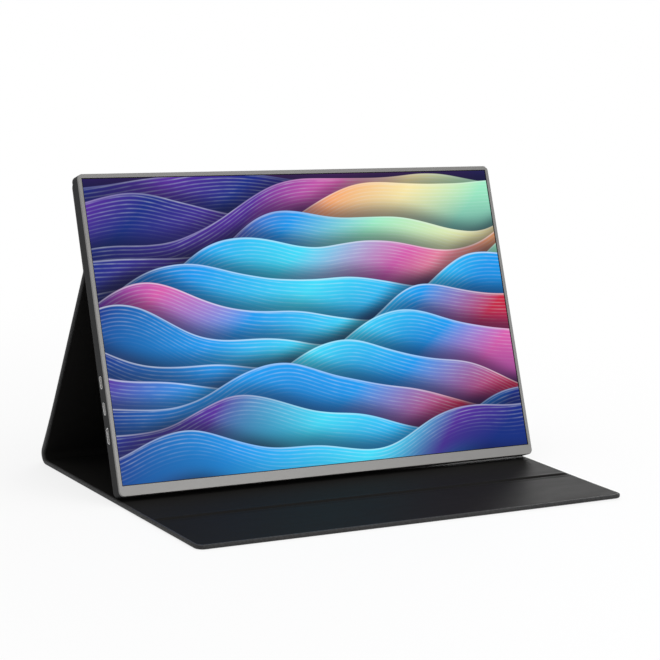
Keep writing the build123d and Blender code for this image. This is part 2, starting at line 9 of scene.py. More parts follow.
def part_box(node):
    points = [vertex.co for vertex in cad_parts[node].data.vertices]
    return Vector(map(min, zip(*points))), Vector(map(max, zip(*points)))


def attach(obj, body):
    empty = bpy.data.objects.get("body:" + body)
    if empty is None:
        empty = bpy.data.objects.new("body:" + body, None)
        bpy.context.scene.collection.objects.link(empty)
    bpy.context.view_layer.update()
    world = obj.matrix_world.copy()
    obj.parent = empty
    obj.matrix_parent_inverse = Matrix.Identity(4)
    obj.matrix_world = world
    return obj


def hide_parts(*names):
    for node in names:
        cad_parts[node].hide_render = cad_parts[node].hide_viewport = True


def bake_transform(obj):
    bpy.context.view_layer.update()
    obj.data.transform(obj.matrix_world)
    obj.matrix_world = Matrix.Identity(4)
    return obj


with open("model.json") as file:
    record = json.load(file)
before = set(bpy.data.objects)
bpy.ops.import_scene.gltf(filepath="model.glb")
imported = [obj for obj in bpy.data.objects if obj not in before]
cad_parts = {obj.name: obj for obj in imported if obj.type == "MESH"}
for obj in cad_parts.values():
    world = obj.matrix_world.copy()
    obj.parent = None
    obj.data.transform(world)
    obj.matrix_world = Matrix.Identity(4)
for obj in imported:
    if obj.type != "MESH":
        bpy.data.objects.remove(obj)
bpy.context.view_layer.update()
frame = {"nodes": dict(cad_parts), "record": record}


# Rear cover of the case.
# A shallow pressed tray of aluminium, painted dark grey with a fine sand texture. Everything else in the
# display is put into it from the front, and its side walls hold the sockets, the keys and the sound slots.
class Wire:
    """One socket of a node. Python's operators on it add Math nodes."""

    def __init__(self, nodes, socket):
        self.nodes = nodes
        self.socket = socket

    def __add__(self, other):
        return self.nodes.maths("ADD", self, other)

    def __sub__(self, other):
        return self.nodes.maths("SUBTRACT", self, other)

    def __rsub__(self, other):
        return self.nodes.maths("SUBTRACT", other, self)

    def __mul__(self, other):
        return self.nodes.maths("MULTIPLY", self, other)

    def __truediv__(self, other):
        return self.nodes.maths("DIVIDE", self, other)

    def __pow__(self, other):
        return self.nodes.maths("POWER", self, other)

    def __abs__(self):
        return self.nodes.maths("ABSOLUTE", self)

    def sine(self):
        return self.nodes.maths("SINE", self)

    def over(self, limit):
        return self.nodes.maths("GREATER_THAN", self, limit)

    def beside(self, output):
        """Another output of the same node."""
        return Wire(self.nodes, self.socket.node.outputs[output])

    __radd__ = __add__
    __rmul__ = __mul__


class Nodes:
    """A node tree that is filled one node at a time."""

    def __init__(self, tree):
        self.tree = tree
        tree.nodes.clear()

    def add(self, kind, settings=None, inputs=None, output=0):
        """A node of this kind, with its settings made before its sockets are filled. Gives one output."""
        node = self.tree.nodes.new(kind)
        for name, value in (settings or {}).items():
            if name == "stops":
                for place, _ in value[1:-1]:
                    node.color_ramp.elements.new(place)
                for stop, (_, colour) in zip(node.color_ramp.elements, value):
                    stop.color = (*colour, 1)
            else:
                setattr(node, name, value)
        for name, value in (inputs or {}).items():
            if isinstance(value, Wire):
                self.tree.links.new(value.socket, node.inputs[name])
            else:
                node.inputs[name].default_value = value
        return Wire(self, node.outputs[output])

    def maths(self, operation, *values):
        return self.add("ShaderNodeMath", {"operation": operation}, dict(enumerate(values)))

    def fade(self, value, start, end, low=0.0, high=1.0):
        """Low before start, high after end and smooth between them."""
        return self.add("ShaderNodeMapRange", {"interpolation_type": "SMOOTHSTEP"}, {
            "Value": value, "From Min": start, "From Max": end, "To Min": low, "To Max": high})


class Finish(Nodes):
    """A surface finish. Its patterns are laid out in object coordinates, in metres."""

    def __init__(self, name):
        self.material = bpy.data.materials.new(name)
        self.material.use_nodes = True
        super().__init__(self.material.node_tree)
        self.place = self.add("ShaderNodeTexCoord", output="Object")

    def grain(self, size, detail=2.0, stretch=(1, 1, 1)):
        """Cloudy values from 0 to 1, with lumps of about this size."""
        place = self.place
        if stretch != (1, 1, 1):
            place = self.add("ShaderNodeMapping", {}, {"Vector": place, "Scale": stretch})
        return self.add("ShaderNodeTexNoise", {}, {"Vector": place, "Scale": 1 / size, "Detail": detail})

    def tint(self, share, first, second):
        """Colour that goes from the first to the second as share goes from 0 to 1."""
        first, second = (colour if isinstance(colour, Wire) else (*colour, 1) for colour in (first, second))
        return self.add("ShaderNodeMix", {"data_type": "RGBA"}, {0: share, 6: first, 7: second}, output=2)

    def relief(self, height, depth):
        """Normals of a surface raised by depth, in metres, where height is 1."""
        return self.add("ShaderNodeBump", {}, {"Height": height, "Distance": depth})

    def done(self, **sockets):
        """The material, with these values or patterns on its shader's sockets."""
        inputs = {name.replace("_", " "): value for name, value in sockets.items()}
        shader = self.add("ShaderNodeBsdfPrincipled", {}, inputs)
        self.add_output(shader)
        return self.material

    def add_output(self, shader):
        node = self.tree.nodes.new("ShaderNodeOutputMaterial")
        self.tree.links.new(shader.socket, node.inputs["Surface"])


def dress(material, *names):
    """Gives CAD nodes this material."""
    for name in names:
        mesh = frame["nodes"][name].data
        mesh.materials.clear()
        mesh.materials.append(material)


def sanded_paint():
    paint = Finish("case_dark")
    sand = paint.grain(0.00022, 1.0)
    cloud = paint.grain(0.03, 3.0)
    colour = paint.tint(cloud * 0.6 + sand * 0.4, (0.0042, 0.0043, 0.0046), (0.0080, 0.0082, 0.0086))
    return paint.done(Base_Color=colour, Roughness=sand * 0.14 + 0.48, Specular_IOR_Level=0.14,
                      Normal=paint.relief(sand, 0.000012))


dress(sanded_paint(), "rear_cover")


# Magnets, speakers and their leads.
# Plated bar magnets are glued to the tray's floor, and two slim speakers with ribbed rubber
# surrounds are set in its lower corners, each fed by a thin twisted lead from the main board.
def plated():
    plate = Finish("magnet_plating")
    scuff = plate.grain(0.0016, 4.0, (1, 6, 6))
    colour = plate.tint(scuff, (0.42, 0.42, 0.43), (0.62, 0.62, 0.63))
    return plate.done(Base_Color=colour, Metallic=1.0, Roughness=scuff * 0.2 + 0.2,
                      Normal=plate.relief(scuff, 0.000008))


def moulded(name, dark, light, roughness=0.5):
    """Moulded plastic with a fine spark texture."""
    plastic = Finish(name)
    spark = plastic.grain(0.0003, 1.0)
    cloud = plastic.grain(0.008, 3.0)
    colour = plastic.tint(cloud * 0.7 + spark * 0.3, dark, light)
    return plastic.done(Base_Color=colour, Roughness=spark * 0.15 + roughness,
                        Normal=plastic.relief(spark, 0.000015))


def ribbed_cone():
    cone = Finish("speaker_cone")
    rib_pace = 4200
    rib = (cone.add("ShaderNodeSeparateXYZ", {}, {"Vector": cone.place}) * rib_pace).sine()
    fibre = cone.grain(0.0007, 3.0, (1, 8, 8))
    colour = cone.tint(fibre, (0.012, 0.012, 0.013), (0.03, 0.03, 0.032))
    return cone.done(Base_Color=colour, Roughness=fibre * 0.2 + 0.55,
                     Normal=cone.relief(rib * 0.4 + fibre, 0.00003))


black_plastic = moulded("black_plastic", (0.014, 0.014, 0.015), (0.024, 0.024, 0.026))
dress(plated(), "case_magnets", "cover_magnets", "flap_magnets")
dress(ribbed_cone(), "speaker_left", "speaker_right")
dress(moulded("lead_jacket", (0.018, 0.018, 0.020), (0.05, 0.012, 0.012), 0.35), "speaker_leads")


# Mesh behind the two sound slots.
# A strip of woven steel wire is glued inside the lower wall, so that dust stays out of the speakers.
# Its wires cross at right angles, and the weave is painted black.
joint_at = {joint["name"]: Vector(joint["pos_m"]) for joint in frame["record"]["behaviour"]["joints"]
            if "pos_m" in joint}
display_lean = math.radians(21.4)
screen_up = Vector((0, math.sin(display_lean), math.cos(display_lean)))
screen_out = Vector((0, -math.cos(display_lean), math.sin(display_lean)))
crease_up = 0.1595
sheet_t = 0.0032
foot = joint_at["display_tilt"] - screen_up * crease_up + screen_out * sheet_t / 2
cabinet = Matrix.Translation(foot) @ Matrix(((1, 0, 0), screen_up, screen_out)).transposed().to_4x4()
port_level = 0.0037


def grown(name, tree, values, flat=None):
    """What a geometry node tree makes with these values, or makes of a flat mesh, as a plain mesh object."""
    seed = bpy.data.objects.new(name + "_seed", flat or bpy.data.meshes.new(name))
    bpy.context.scene.collection.objects.link(seed)
    modifier = seed.modifiers.new("make", "NODES")
    modifier.node_group = tree
    for item in tree.interface.items_tree:
        if item.in_out == "INPUT" and item.name in values:
            modifier[item.identifier] = values[item.name]
    made = bpy.data.meshes.new_from_object(seed.evaluated_get(bpy.context.evaluated_depsgraph_get()))
    seed.modifiers.remove(modifier)
    bpy.data.objects.remove(seed)
    piece = bpy.data.objects.new(name, made)
    bpy.context.scene.collection.objects.link(piece)
    return piece


def tree_of(name, asks):
    """A geometry node tree with these named inputs, and wires from them."""
    tree = bpy.data.node_groups.new(name, "GeometryNodeTree")
    tree.interface.new_socket("Geometry", in_out="OUTPUT", socket_type="NodeSocketGeometry")
    for ask, kind in asks.items():
        tree.interface.new_socket(ask, in_out="INPUT", socket_type="NodeSocket" + kind)
    nodes = Nodes(tree)
    given = tree.nodes.new("NodeGroupInput")
    return nodes, {socket.name: Wire(nodes, socket) for socket in given.outputs if socket.name}


def ended(nodes, geometry, material, **part):
    """Ends a tree: its instances are made real and get their material."""
    real = nodes.add("GeometryNodeRealizeInstances", {}, {"Geometry": geometry})
    painted = nodes.add("GeometryNodeSetMaterial", {}, {"Geometry": real, "Material": material, **part})
    nodes.tree.links.new(painted.socket, nodes.tree.nodes.new("NodeGroupOutput").inputs["Geometry"])
    return nodes.tree


def row_tree():
    """A row of bars of one size, one every step from the first."""
    nodes, ask = tree_of("row_of_bars", {"Count": "Int", "Step": "Vector", "First": "Vector", "Bar": "Vector",
                                         "Material": "Material"})
    line = nodes.add("GeometryNodeMeshLine", {"mode": "OFFSET"},
                     {"Count": ask["Count"], "Start Location": ask["First"], "Offset": ask["Step"]})
    bar = nodes.add("GeometryNodeMeshCube", {}, {"Size": ask["Bar"]})
    rows = nodes.add("GeometryNodeInstanceOnPoints", {}, {"Points": line, "Instance": bar})
    return ended(nodes, rows, ask["Material"])


bar_rows = row_tree()


def row_of_bars(name, material, count, step, first, bar):
    return grown(name, bar_rows, {"Count": count, "Step": step, "First": first, "Bar": bar,
                                  "Material": material})


def joined(name, pieces, material, place):
    """One plain mesh from several, moved to its place."""
    whole = bmesh.new()
    for piece in pieces:
        whole.from_mesh(piece.data)
    mesh = bpy.data.meshes.new(name)
    whole.to_mesh(mesh)
    whole.free()
    mesh.materials.append(material)
    mesh.transform(place)
    for piece in pieces:
        bpy.data.objects.remove(piece)
    made = bpy.data.objects.new(name, mesh)
    bpy.context.scene.collection.objects.link(made)
    return made


def sound_mesh(name, x):
    wire = 0.00012
    pitch = 0.00040
    span, rise = 0.0212, 0.0032
    behind_wall = 0.00108
    up = row_of_bars(name + "_up", black_plastic, int(span / pitch), (pitch, 0, 0),
                     (x - span / 2, behind_wall, port_level), (wire, wire, rise))
    over = row_of_bars(name + "_over", black_plastic, int(rise / pitch) + 1, (0, 0, pitch),
                       (x, behind_wall + wire, port_level - rise / 2), (span, wire, wire))
    return joined(name, [up, over], black_plastic, cabinet)


slot_x = 0.1505
for side, x in (("left", -slot_x), ("right", slot_x)):
    weave = sound_mesh("sound_mesh_" + side, x)
    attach(weave, "display")


# Boards, chips, ribbons and screws.
# The main board carries the sockets at the left wall and the key board the switches at the right wall.
# Both are green laminate with tracks under the lacquer, held by small steel screws and joined by film cables.
def lacquered_board():
    board = Finish("circuit_board")
    track = board.add("ShaderNodeTexBrick", {"offset": 0.37}, {
        "Vector": board.place, "Scale": 260.0, "Mortar Size": 0.06,
        "Color1": (0, 0, 0, 1), "Color2": (0.25, 0.25, 0.25, 1), "Mortar": (1, 1, 1, 1)}, output="Fac")
    cloud = board.grain(0.004, 3.0)
    lacquer = board.tint(cloud, (0.004, 0.045, 0.022), (0.006, 0.065, 0.030))
    colour = board.tint(track * 0.6, lacquer, (0.02, 0.13, 0.055))
    return board.done(Base_Color=colour, Roughness=cloud * 0.12 + 0.26, Normal=board.relief(track, 0.00003))


def chip_tops():
    chip = Finish("chip_black")
    matt = chip.grain(0.00035, 2.0)
    patch = chip.grain(0.006, 1.0)
    colour = chip.tint(patch, (0.010, 0.010, 0.011), (0.040, 0.040, 0.043))
    return chip.done(Base_Color=colour, Roughness=matt * 0.2 + 0.42, Normal=chip.relief(matt, 0.00002))


def printed_film():
    film = Finish("amber_film")
    line_pace = 6283
    along = film.add("ShaderNodeSeparateXYZ", {}, {"Vector": film.place})
    line = (along * line_pace).sine().over(0.2)
    cloud = film.grain(0.003, 2.0)
    base = film.tint(cloud, (0.33, 0.13, 0.018), (0.43, 0.18, 0.03))
    colour = film.tint(line * 0.55, base, (0.16, 0.055, 0.01))
    return film.done(Base_Color=colour, Roughness=cloud * 0.1 + 0.24, Normal=film.relief(line, 0.00002))


def turned_steel():
    steel = Finish("screw_steel")
    ring = steel.grain(0.0004, 3.0)
    colour = steel.tint(ring, (0.30, 0.30, 0.31), (0.50, 0.50, 0.51))
    return steel.done(Base_Color=colour, Metallic=1.0, Roughness=ring * 0.18 + 0.22,
                      Normal=steel.relief(ring, 0.00001))


white_plastic = moulded("white_plastic", (0.66, 0.66, 0.64), (0.76, 0.76, 0.74), 0.4)
dress(lacquered_board(), "main_board", "key_board", "driver_board")
dress(chip_tops(), "board_chips")
dress(printed_film(), "panel_ribbon", "key_ribbon", "driver_films")
dress(turned_steel(), "board_screws", "rocker_pin")
dress(white_plastic, "ribbon_sockets")


# Sockets on the left side.
# Two oval data and power sockets and a mini video socket, each a shell of drawn steel with a blade
# in the middle. The blade's gold contacts lie side by side on both its faces.
def drawn_shell():
    shell = Finish("port_metal")
    drawn = shell.grain(0.0005, 3.0, (0.15, 1, 1))
    colour = shell.tint(drawn, (0.74, 0.74, 0.74), (0.86, 0.86, 0.86))
    return shell.done(Base_Color=colour, Metallic=0.9, Roughness=drawn * 0.15 + 0.28,
                      Normal=shell.relief(drawn, 0.000008))


def gold():
    contact = Finish("contact_gold")
    wipe = contact.grain(0.0003, 2.0, (0.2, 1, 1))
    colour = contact.tint(wipe, (0.62, 0.40, 0.12), (0.80, 0.56, 0.20))
    return contact.done(Base_Color=colour, Metallic=1.0, Roughness=wipe * 0.12 + 0.2,
                        Normal=contact.relief(wipe, 0.000004))


port_metal = drawn_shell()
contact_gold = gold()
dress(port_metal, "data_port_upper", "data_port_lower", "mini_video_port")


def blade_contacts(name, up, count, pitch):
    blade_tip, half_blade = -0.1744, 0.00035
    length, width, thin = 0.0034, pitch * 0.52, 0.00004
    rows = []
    for face in (-1, 1):
        first = (blade_tip + length / 2, up - pitch * (count - 1) / 2,
                 port_level + face * (half_blade + thin / 2))
        rows.append(row_of_bars(f"{name}_row{face}", contact_gold, count, (0, pitch, 0), first,
                                (length, width, thin)))
    piece = joined(name, rows, contact_gold, cabinet)
    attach(piece, "display")


blade_contacts("contacts_upper", 0.0806, 12, 0.0005)
blade_contacts("contacts_lower", 0.0622, 12, 0.0005)
blade_contacts("contacts_video", 0.0432, 10, 0.0008)
dress(black_plastic, "audio_jack")


# Keys on the right side.
# The power button and the menu rocker are machined bars of the frame's aluminium that stand a little
# proud of the wall. Behind them are push switches, and the rocker turns on a steel pin.
def blasted(name, dark, light, roughness):
    """Bead blasted and anodised aluminium."""
    metal = Finish(name)
    bead = metal.grain(0.00016, 1.0)
    cloud = metal.grain(0.02, 3.0)
    colour = metal.tint(cloud * 0.5 + bead * 0.5, dark, light)
    return metal.done(Base_Color=colour, Metallic=0.8, Roughness=bead * 0.14 + roughness,
                      Normal=metal.relief(bead, 0.000008))


dress(blasted("key_metal", (0.10, 0.10, 0.10), (0.15, 0.148, 0.145), 0.34), "power_button", "menu_rocker")
dress(port_metal, "key_switches")


# Backlight.
# A pressed steel plate, a white moulded frame, a mirror-white sheet, a clear light guide with etched
# dots, and prism films over it. A strip of light-emitting diodes shines into the guide's lower edge.
def pressed_plate():
    plate = Finish("plate_metal")
    roll = plate.grain(0.0009, 3.0, (0.05, 1, 1))
    cloud = plate.grain(0.02, 2.0)
    colour = plate.tint(cloud, (0.40, 0.40, 0.41), (0.52, 0.52, 0.53))
    return plate.done(Base_Color=colour, Metallic=1.0, Roughness=roll * 0.2 + 0.3,
                      Normal=plate.relief(roll, 0.00001))


def etched_clear():
    clear = Finish("clear_plastic")
    dots = clear.add("ShaderNodeTexVoronoi", {}, {"Vector": clear.place, "Scale": 700.0, "Randomness": 0.1})
    dot = clear.fade(dots, 0.45, 0.30)
    colour = clear.tint(dot, (0.82, 0.86, 0.88), (0.95, 0.97, 0.98))
    return clear.done(Base_Color=colour, Roughness=dot * 0.3 + 0.08, Transmission_Weight=0.6, IOR=1.49,
                      Normal=clear.relief(dot, 0.00001))


def lit_strip():
    strip = Finish("led_strip")
    lens_pace = 380
    across = strip.add("ShaderNodeSeparateXYZ", {}, {"Vector": strip.place})
    lens = abs((across * lens_pace).sine()).over(0.6)
    colour = strip.tint(lens, (0.70, 0.70, 0.68), (0.85, 0.75, 0.32))
    return strip.done(Base_Color=colour, Roughness=lens * 0.2 + 0.3, Normal=strip.relief(lens, 0.00004))


dress(pressed_plate(), "panel_back_plate")
dress(white_plastic, "backlight_frame", "reflector_sheet")
dress(etched_clear(), "light_guide", "optical_films")
dress(lit_strip(), "led_bar")


# Glass of the panel, and the tape round it.
# Two sheets of thin glass hold the liquid crystal, with a black printed band round the front one.
# Black foam tape sticks the panel to the back of the frame.
def panel_glass():
    glass = Finish("panel_glass")
    haze = glass.grain(0.01, 2.0)
    colour = glass.tint(haze, (0.010, 0.011, 0.013), (0.016, 0.017, 0.020))
    return glass.done(Base_Color=colour, Roughness=haze * 0.05 + 0.06, Coat_Weight=0.5,
                      Normal=glass.relief(haze, 0.00001))


def foam_tape():
    foam = Finish("foam_tape")
    cell = foam.add("ShaderNodeTexVoronoi", {}, {"Vector": foam.place, "Scale": 2500.0})
    colour = foam.tint(cell, (0.010, 0.010, 0.010), (0.030, 0.030, 0.030))
    return foam.done(Base_Color=colour, Roughness=cell * 0.1 + 0.8, Normal=foam.relief(cell, 0.00006))


dress(panel_glass(), "front_glass", "rear_glass")
dress(foam_tape(), "panel_tape")


# Front frame.
# A thin frame of warm grey aluminium, narrow at the top and sides and taller below the picture. It is
# bead blasted, with a small bevel round its outer edge, and tabs behind it grip the tray's walls.
dress(blasted("frame_metal", (0.186, 0.183, 0.178), (0.220, 0.217, 0.212), 0.34), "front_frame")


# Screen film, lit from behind.
# A smooth hard-coated film lies over the panel, level with the frame. The picture that it shows is a
# made-up one of overlapping silk-like waves, and a thin unlit margin runs round the lit area.
def lit_picture():
    lit_w, lit_h, chin = 0.3446, 0.2154, 0.008
    screen = Finish("lit_screen")
    x = screen.add("ShaderNodeSeparateXYZ", {}, {"Vector": screen.place})
    up = screen.add("ShaderNodeVectorMath", {"operation": "DOT_PRODUCT"},
                    {0: screen.place, 1: tuple(screen_up)}, output="Value")
    low = foot.dot(screen_up) + chin
    across = x / lit_w
    rise = (up - (low + lit_h / 2)) / lit_w
    drift = screen.grain(0.16, 2.0) - 0.5

    night = screen.add("ShaderNodeValToRGB", {"stops": [
        (0.0, (0.003, 0.005, 0.040)), (0.3, (0.008, 0.008, 0.110)), (0.55, (0.070, 0.012, 0.170)),
        (0.8, (0.160, 0.030, 0.200)), (1.0, (0.020, 0.012, 0.120))]},
        {"Fac": across * 0.7 + rise * 0.8 + drift * 0.6 + 0.5})

    thread = screen.grain(0.012, 2.0, (1, 3, 3)) ** 1.5
    shade, deep_blue = (0.002, 0.003, 0.030), (0.004, 0.030, 0.160)
    strand_white, rim_white = (0.80, 0.92, 1.0), (0.93, 0.97, 1.0)
    # Lengths here and in the table below are shares of the lit width.
    wander, shadow_reach = 0.045, 0.045
    rim_in, rim_reach = 0.0018, 0.0030
    strand_pace = 760

    def fold(below, level, slope, swing, pace, phase, depth, rim, stops):
        """One fold of silk: bright along its crest, shading what lies behind it, with fine strands below."""
        long_wave = (across * pace + phase).sine() * swing
        short_wave = (across * (pace * 2.4) + phase * 1.9).sine() * (swing * 0.3)
        under = long_wave + short_wave + across * slope + level + drift * wander - rise
        behind = (1 - screen.fade(0 - under, 0.0, shadow_reach)) * 0.6
        dark = screen.tint(behind, below, shade)
        body = screen.fade(under, -0.0006, 0.0010) * (1 - screen.fade(under, depth * 0.55, depth))
        colour = screen.add("ShaderNodeValToRGB", {"stops": stops}, {"Fac": across + 0.5 + under * 1.1})
        lit = screen.tint(screen.fade(under, 0.0, depth * 0.65) * 0.48, colour, deep_blue)
        combing = under * strand_pace + (across * 5 + phase).sine() * 5 + drift * 12
        strand = (combing.sine() * 0.5 + 0.5) ** 4
        near_crest = 1 - screen.fade(under, 0.0, depth * 0.6)
        combed = screen.tint(strand * near_crest * thread * 0.45, lit, strand_white)
        glint = (1 - screen.fade(abs(under - rim_in), 0.0, rim_reach)) * rim
        return screen.tint(body, dark, screen.tint(glint, combed, rim_white))

    navy = (0.004, 0.020, 0.230)
    violet = (0.095, 0.022, 0.330)
    azure = (0.004, 0.330, 0.880)
    cyan = (0.050, 0.720, 0.960)
    pink = (0.700, 0.110, 0.420)
    cream = (0.960, 0.820, 0.400)
    peach = (0.930, 0.400, 0.160)
    mint = (0.340, 0.840, 0.560)
    crimson = (0.580, 0.012, 0.045)
    # Level, slope, swing, pace, phase and depth of each fold, how bright its rim is, and its colours.
    folds = (
        (0.296, -0.03, 0.020, 5.0, 2.2, 0.22, 0.12,
         [(0, navy), (0.2, violet), (0.4, navy), (0.7, violet), (1, azure)]),
        (0.228, -0.05, 0.030, 6.8, 4.1, 0.18, 0.2,
         [(0, violet), (0.16, navy), (0.4, violet), (0.7, navy), (1, pink)]),
        (0.262, 0.13, 0.040, 6.2, 1.1, 0.15, 0.2,
         [(0, navy), (0.4, violet), (0.62, pink), (0.8, cream), (1, mint)]),
        (0.222, 0.10, 0.052, 5.4, 0.1, 0.17, 0.25,
         [(0, navy), (0.35, violet), (0.6, peach), (0.8, cream), (1, mint)]),
        (0.182, 0.13, 0.050, 7.1, 1.6, 0.18, 0.3,
         [(0, navy), (0.3, violet), (0.5, azure), (0.7, mint), (1, cream)]),
        (0.140, 0.17, 0.056, 6.0, 2.5, 0.18, 0.4,
         [(0, violet), (0.22, azure), (0.5, cyan), (0.78, pink), (1, peach)]),
        (0.094, 0.12, 0.062, 5.6, 3.3, 0.18, 0.45,
         [(0, navy), (0.25, azure), (0.52, cyan), (0.85, azure), (1, mint)]),
        (0.046, 0.06, 0.060, 6.6, 4.2, 0.17, 0.45,
         [(0, violet), (0.16, pink), (0.36, azure), (0.65, cyan), (1, azure)]),
        (-0.002, 0.02, 0.054, 7.4, 5.1, 0.16, 0.45,
         [(0, navy), (0.25, azure), (0.5, cyan), (0.8, azure), (1, crimson)]),
        (-0.050, -0.04, 0.058, 6.0, 6.0, 0.16, 0.4,
         [(0, navy), (0.3, azure), (0.55, cyan), (0.85, azure), (1, pink)]),
        (-0.100, -0.07, 0.048, 7.0, 0.6, 0.15, 0.4,
         [(0, violet), (0.22, azure), (0.48, cyan), (0.75, azure), (1, crimson)]),
        (-0.150, -0.06, 0.044, 6.4, 1.9, 0.14, 0.35,
         [(0, navy), (0.3, azure), (0.6, azure), (0.85, crimson), (1, navy)]),
        (-0.200, -0.03, 0.038, 7.8, 3.0, 0.13, 0.3,
         [(0, navy), (0.25, violet), (0.5, cyan), (0.8, azure), (1, navy)]),
        (-0.250, 0.01, 0.034, 8.2, 4.4, 0.12, 0.3,
         [(0, navy), (0.3, azure), (0.6, cyan), (0.85, violet), (1, navy)]))
    picture = night
    for numbers in folds:
        picture = fold(picture, *numbers)

    inside = (lit_w / 2 - abs(x)).over(0) * (lit_h / 2 - abs(rise * lit_w)).over(0)
    shown = screen.tint(inside, (0.0, 0.0, 0.0), picture)
    fine = screen.grain(0.0002, 1.0)
    return screen.done(Base_Color=screen.tint(fine, (0.004, 0.004, 0.005), (0.007, 0.007, 0.008)),
                       Roughness=fine * 0.05 + 0.18, Specular_IOR_Level=0.04,
                       Emission_Color=shown, Emission_Strength=1.0,
                       Normal=screen.relief(fine, 0.000002))


dress(lit_picture(), "screen_film")


# Boards and magnets in the cover.
# Each panel of the cover is stiffened by a pressed fibre board. The one in the flap follows the flap's
# raised front corner, and magnets are let into the boards of the flap and of the upper panel.
heel, front_crease, rear_crease = (joint_at[name] for name in ("leg_fold", "flap_fold", "display_tilt"))
flap_l = 0.0631
half_w = 0.175


def corner_lift():
    """Lifts the flap's front right corner, more the further it is from the crease and the middle."""
    nodes, ask = tree_of("corner_lift", {"Geometry": "Geometry", "Crease": "Float", "Length": "Float",
                                         "Side": "Float", "Lift": "Float", "Material": "Material"})
    across = nodes.add("ShaderNodeSeparateXYZ", {}, {0: nodes.add("GeometryNodeInputPosition")})
    along = across.beside("Y")
    ahead = nodes.maths("MAXIMUM", (ask["Crease"] - along) / ask["Length"], 0.0)
    aside = nodes.maths("MAXIMUM", across / ask["Side"] * 0.9 + 0.1, 0.0)
    rise = nodes.add("ShaderNodeCombineXYZ", {}, {"Z": ahead ** 2.2 * aside ** 2.0 * ask["Lift"]})
    lifted = nodes.add("GeometryNodeSetPosition", {}, {"Geometry": ask["Geometry"], "Offset": rise})
    return ended(nodes, lifted, ask["Material"])


lift_tree = corner_lift()
lift_values = {"Crease": front_crease.y, "Length": flap_l, "Side": half_w, "Lift": 0.0005}


def pressed_board():
    board = Finish("cover_board")
    fibre = board.grain(0.0012, 4.0, (1, 5, 5))
    colour = board.tint(fibre, (0.10, 0.085, 0.066), (0.17, 0.145, 0.115))
    return board.done(Base_Color=colour, Roughness=fibre * 0.2 + 0.7, Normal=board.relief(fibre, 0.00004))


fibre_board = pressed_board()
dress(fibre_board, "base_stiffener", "leg_stiffener", "upper_stiffener")

# The flap's board is cut into small squares, so that it can bend up with the corner.
board = bmesh.new()
board.from_mesh(frame["nodes"]["flap_stiffener"].data)
bmesh.ops.remove_doubles(board, verts=board.verts, dist=0.000001)
strips_across, strips_along = 24, 8
cuts = [((-half_w + 2 * half_w * k / strips_across, 0, 0), (1, 0, 0)) for k in range(1, strips_across)]
cuts += [((0, front_crease.y - flap_l * k / strips_along, 0), (0, 1, 0)) for k in range(1, strips_along)]
for place, way in cuts:
    parts = board.verts[:] + board.edges[:] + board.faces[:]
    bmesh.ops.bisect_plane(board, geom=parts, plane_co=place, plane_no=way)
flat_board = bpy.data.meshes.new("flap_board_flat")
board.to_mesh(flat_board)
board.free()
flap_board = grown("flap_board", lift_tree, {**lift_values, "Material": fibre_board}, flat_board)
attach(flap_board, "flap")
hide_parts("flap_stiffener")


# Folding cover.
# One long sheet: black coated leather, its edges turned over a board and glued down, with a smooth black
# lining inside. It is pressed thin at the creases, and rolls round a fuller heel to the back of the display.
corner_r = 0.006
rim = 0.0026
heel_r, knee_r, crease_r = 0.0058, 0.060, 0.003
heel_out = 0.0009
knee_up = 0.018
heel_before, heel_after = 0.0076, 0.0010
upper_top = 0.2255
leg_lean = math.radians(22.44)
leg_up = Vector((0, -math.sin(leg_lean), math.cos(leg_lean)))
leg_out = Vector((0, math.cos(leg_lean), math.sin(leg_lean)))


def crossing(p, d, q, e):
    """Where the lines from p along d and from q along e meet in the side view."""
    share = ((q.y - p.y) * e.z - (q.z - p.z) * e.y) / (d.y * e.z - d.z * e.y)
    return p + d * share


# Corners of the cover's middle line in the side view, from the flap's front edge to the upper panel's top.
front_edge = Vector((0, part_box("flap_skin")[0].y, sheet_t / 2))
leg_foot = heel + leg_out * sheet_t / 2
heel_corner = crossing(front_edge, Vector((0, 1, 0)), leg_foot, leg_up) + Vector((0, heel_out, 0))
knee = leg_foot + leg_up * knee_up
crease_corner = crossing(knee, leg_up, rear_crease, screen_up)
corners = [front_edge, heel_corner, knee, crease_corner, rear_crease + screen_up * (upper_top - crease_up)]
bend_r = [0, heel_r, knee_r, crease_r, 0]
# Where along the line each bend starts, how long it is, and how long the whole line is.
bends, whole_length = [], 0.0
for before, corner, after, radius in zip(corners, corners[1:], corners[2:], bend_r[1:]):
    turn = (corner - before).angle(after - corner)
    cut = radius * math.tan(turn / 2)
    whole_length += (corner - before).length - cut
    bends.append((whole_length, radius * turn))
    whole_length += radius * turn - cut
whole_length += (corners[-1] - corners[-2]).length
at_heel, heel_arc = bends[0]
at_front_crease = front_crease.y - front_edge.y
at_rear_crease = bends[2][0] + bends[2][1] / 2
heel_start, heel_end = heel.y - heel_before - front_edge.y, at_heel + heel_arc + heel_after
heel_cut = heel_r * math.tan(heel_arc / heel_r / 2)
after_heel = heel_corner + (knee - heel_corner).normalized() * (heel_cut + heel_after)

# The line's straight runs. A point's radius is that of the bend there.
line_data = bpy.data.curves.new("cover_line", "CURVE")
line_data.dimensions = "3D"
runs = line_data.splines.new("POLY")
runs.points.add(len(corners) - 1)
for point, place, radius in zip(runs.points, corners, bend_r):
    point.co = (*place, 1)
    point.radius = radius
cover_line = bpy.data.objects.new("cover_line", line_data)
bpy.context.scene.collection.objects.link(cover_line)


